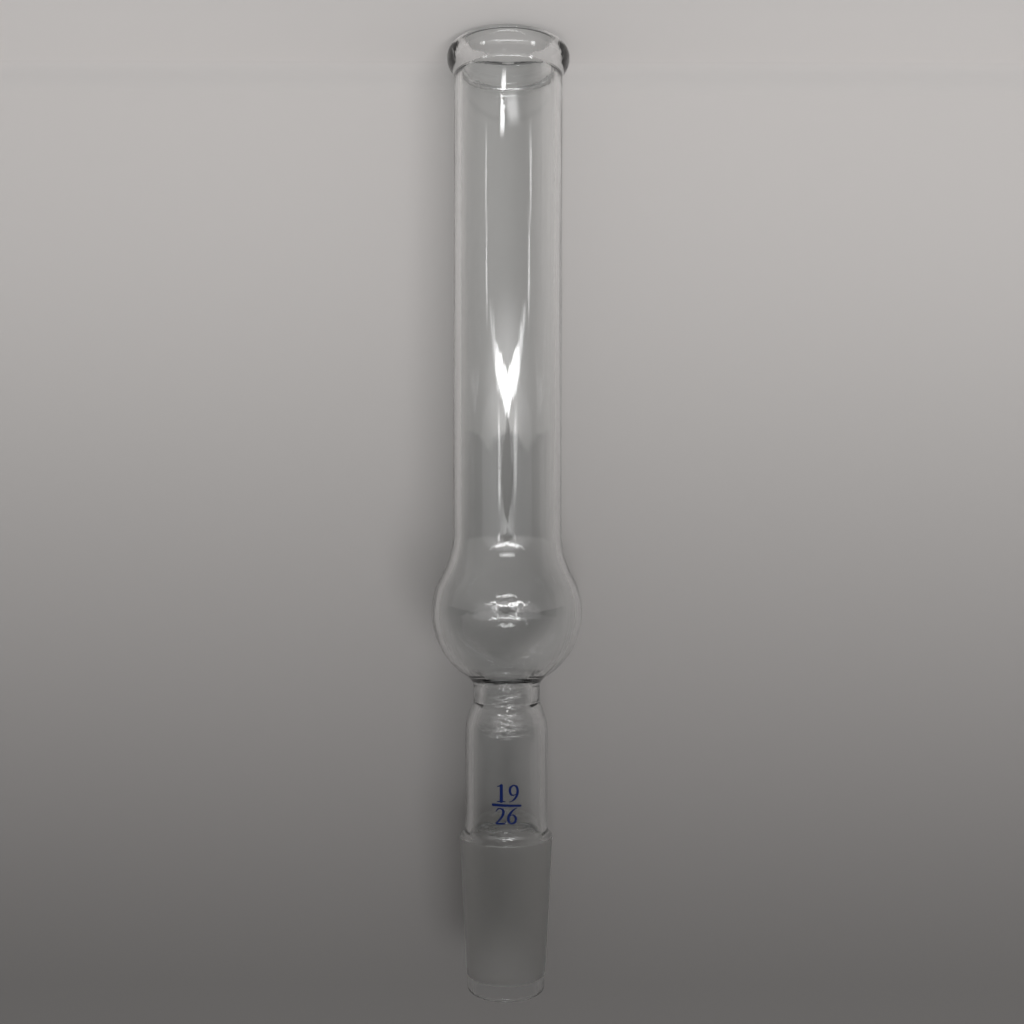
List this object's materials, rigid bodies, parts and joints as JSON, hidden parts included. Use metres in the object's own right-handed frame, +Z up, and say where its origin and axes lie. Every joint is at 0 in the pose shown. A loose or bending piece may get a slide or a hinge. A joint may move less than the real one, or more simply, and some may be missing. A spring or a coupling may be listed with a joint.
{
  "type": "drying tube",
  "caption": "Straight glass drying tube with one bulb, a narrow neck, a beaded mouth and a ground cone joint at the other end.",
  "frame": {"origin": "on the surface it stands on, in the middle of the beaded mouth", "axes": "+Z up the axis of the tube, from the mouth to the tip of the ground joint; the print on the stem faces -Y"},
  "size_m": [0.031, 0.031, 0.1945],
  "materials": {
    "clear_glass": "clear borosilicate glass, fire polished",
    "ground_glass": "finely ground, frosted",
    "blue_print": "blue ceramic print, fired on"
  },
  "bodies": {
    "root": {"drying_tube": "clear_glass"}
  },
  "joints": []
}
